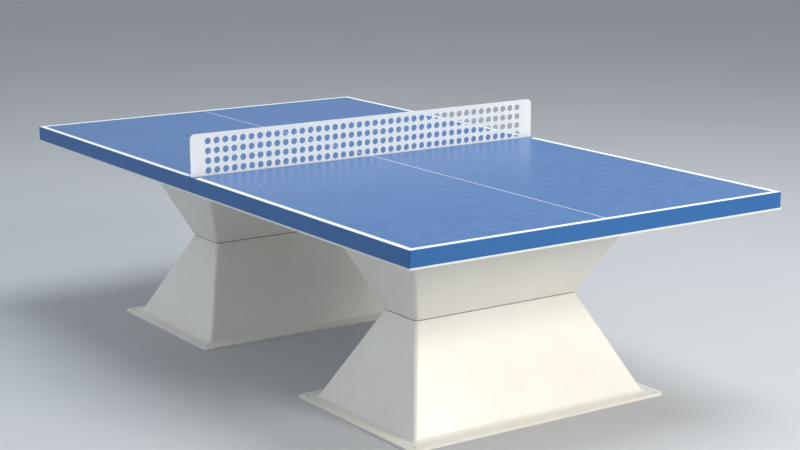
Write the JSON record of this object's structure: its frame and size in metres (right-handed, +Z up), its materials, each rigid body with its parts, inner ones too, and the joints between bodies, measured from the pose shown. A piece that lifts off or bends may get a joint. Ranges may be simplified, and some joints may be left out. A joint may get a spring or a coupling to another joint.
{
  "type": "outdoor table tennis table",
  "caption": "Outdoor table tennis table with a two-part moulded blue top, a fixed perforated steel net and two white hourglass pedestal legs.",
  "frame": {"origin": "on the ground, under the middle of the table", "axes": "+X along the table's length, +Y across it along the net, +Z up"},
  "size_m": [2.744, 1.529, 0.9125],
  "materials": {
    "blue_gelcoat": "semi-gloss blue gelcoat on moulded glass-fibre laminate",
    "white_line": "white gelcoat lines",
    "white_gelcoat": "semi-gloss white gelcoat on moulded glass-fibre laminate",
    "panel_gelcoat": "satin white glass-fibre laminate",
    "core_board": "sealed exterior plywood",
    "net_paint": "white polyester powder coat on perforated steel sheet",
    "zinc_steel": "hot-dip galvanised mild steel",
    "stainless": "stainless steel fasteners, machined",
    "seal_rubber": "black EPDM rubber"
  },
  "bodies": {
    "root": {"top_shell_left": "blue_gelcoat", "top_shell_right": "blue_gelcoat", "court_lines_left": "white_line", "court_lines_right": "white_line", "top_core_left": "core_board", "top_core_right": "core_board", "underside_panel_left": "panel_gelcoat", "underside_panel_right": "panel_gelcoat", "fixing_bar_left_outer": "zinc_steel", "fixing_bar_left_inner": "zinc_steel", "fixing_bar_right_inner": "zinc_steel", "fixing_bar_right_outer": "zinc_steel", "joint_bar_left": "zinc_steel", "joint_bar_right": "zinc_steel", "joint_bolts": "stainless", "joint_washers": "stainless", "joint_nuts": "stainless", "net_panel": "net_paint", "seam_seals": "seal_rubber", "leg_upper_left": "white_gelcoat", "leg_upper_right": "white_gelcoat", "leg_lower_left": "white_gelcoat", "leg_lower_right": "white_gelcoat", "waist_gasket_left": "seal_rubber", "waist_gasket_right": "seal_rubber", "waist_bolts": "stainless", "waist_washers": "stainless", "waist_nuts": "stainless", "leg_top_bolts": "stainless", "leg_top_washers": "stainless"}
  },
  "joints": []
}
